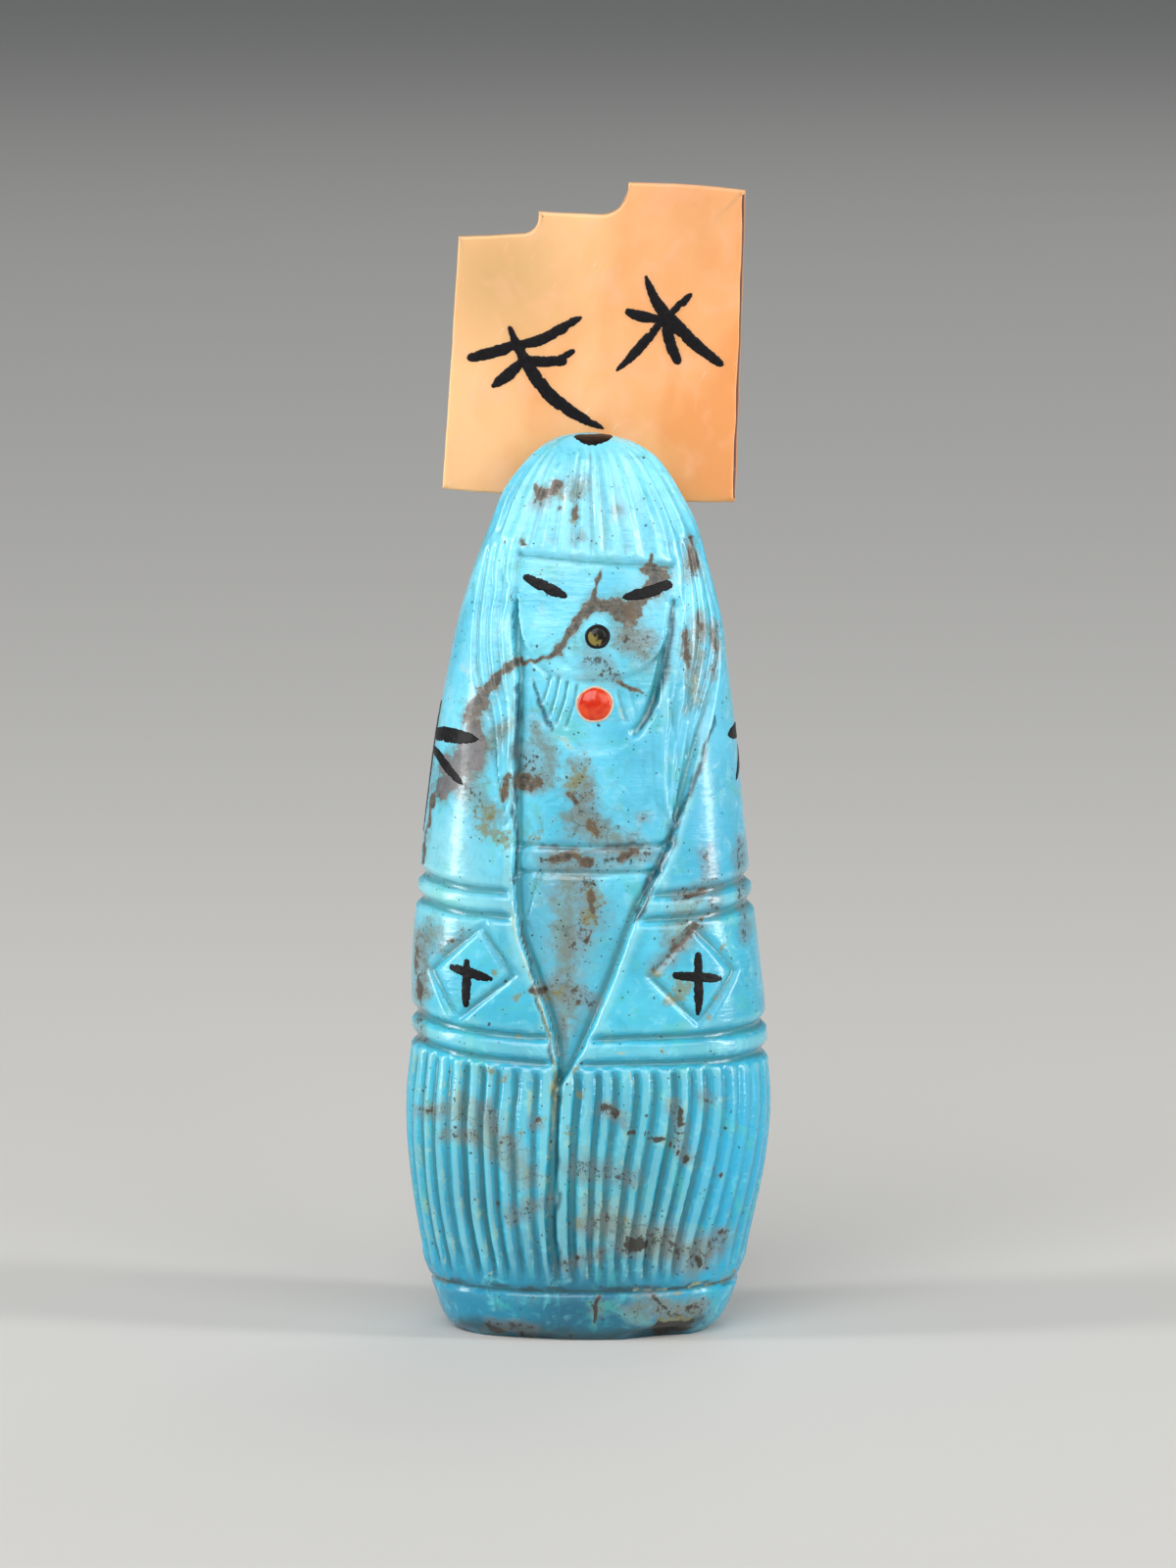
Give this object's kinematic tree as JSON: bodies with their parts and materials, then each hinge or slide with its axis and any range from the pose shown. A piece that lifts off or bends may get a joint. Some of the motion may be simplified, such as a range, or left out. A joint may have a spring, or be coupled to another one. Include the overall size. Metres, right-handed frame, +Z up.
{
  "type": "maiden fetish carving",
  "caption": "Standing stone maiden wrapped in a fringed shawl, with inlaid eyes, mouth and motifs and a stepped shell tablita behind the head; stands on its base for display.",
  "frame": {"origin": "centre of the underside that the figure stands on", "axes": "+Z up through the crown of the head, -Y the way the face looks, +X to the viewer's right when looking at the face"},
  "size_m": [0.0258, 0.0176, 0.0805],
  "materials": {
    "turquoise": "polished",
    "melon_shell": "polished",
    "coral": "polished",
    "jet": "satin",
    "mouth_stone": "polished"
  },
  "bodies": {
    "root": {"turquoise_figure": "turquoise", "shell_tablita": "melon_shell", "coral_pendant": "coral", "mouth_inlay": "mouth_stone", "eye_inlay_left": "jet", "eye_inlay_right": "jet", "crown_inlay": "jet", "cross_inlay_front_left": "jet", "cross_inlay_front_right": "jet", "cross_inlay_back_left": "jet", "cross_inlay_back_right": "jet", "dragonfly_inlay_left": "jet", "dragonfly_inlay_right": "jet", "tablita_dragonfly_inlay": "jet", "tablita_star_inlay": "jet"}
  },
  "joints": []
}
